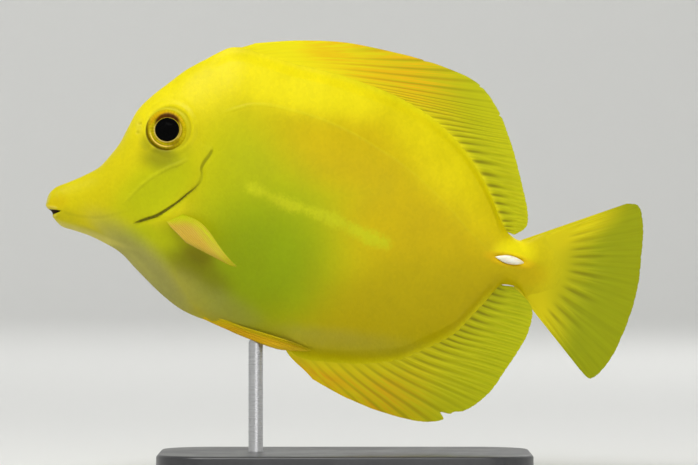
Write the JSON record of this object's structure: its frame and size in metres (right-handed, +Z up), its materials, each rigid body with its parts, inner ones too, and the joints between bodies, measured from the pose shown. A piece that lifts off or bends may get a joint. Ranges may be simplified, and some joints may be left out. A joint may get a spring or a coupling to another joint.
{
  "type": "yellow tang on a display stand",
  "caption": "Life-size still model of a yellow tang, a flat disc-shaped reef fish with a long snout and tall fins, held level by a rod on a plain flat base.",
  "frame": {"origin": "centre of the flat underside of the stand's base, below the middle of the fish's length", "axes": "+X from the snout toward the tail, so the fish faces -X; +Y toward its right side, so its left side faces -Y; +Z up"},
  "size_m": [0.16, 0.056, 0.1162],
  "materials": {
    "skin_yellow": "moist scaly skin, bright yellow, green-olive shade low on the flank",
    "fin_yellow": "translucent fin membrane with raised rays, yellow-green, golden toward the front",
    "fin_peach": "translucent fin membrane with raised rays, golden peach",
    "eye": "wet clear cornea over a brown-gold iris and black pupil",
    "spine_white": "smooth white bony blade",
    "stand_base": "satin dark grey",
    "stand_rod": "brushed steel"
  },
  "bodies": {
    "root": {"head": "skin_yellow", "upper_jaw": "skin_yellow", "lower_jaw": "skin_yellow", "gill_cover_left": "skin_yellow", "gill_cover_right": "skin_yellow", "trunk": "skin_yellow", "tail_stem": "skin_yellow", "dorsal_fin": "fin_yellow", "anal_fin": "fin_yellow", "tail_fin": "fin_yellow", "pectoral_fin_left": "fin_peach", "pectoral_fin_right": "fin_peach", "pelvic_fin_left": "fin_peach", "pelvic_fin_right": "fin_peach", "eye_left": "eye", "eye_right": "eye", "tail_spine_left": "spine_white", "tail_spine_right": "spine_white", "stand_base": "stand_base", "stand_rod": "stand_rod"}
  },
  "joints": []
}
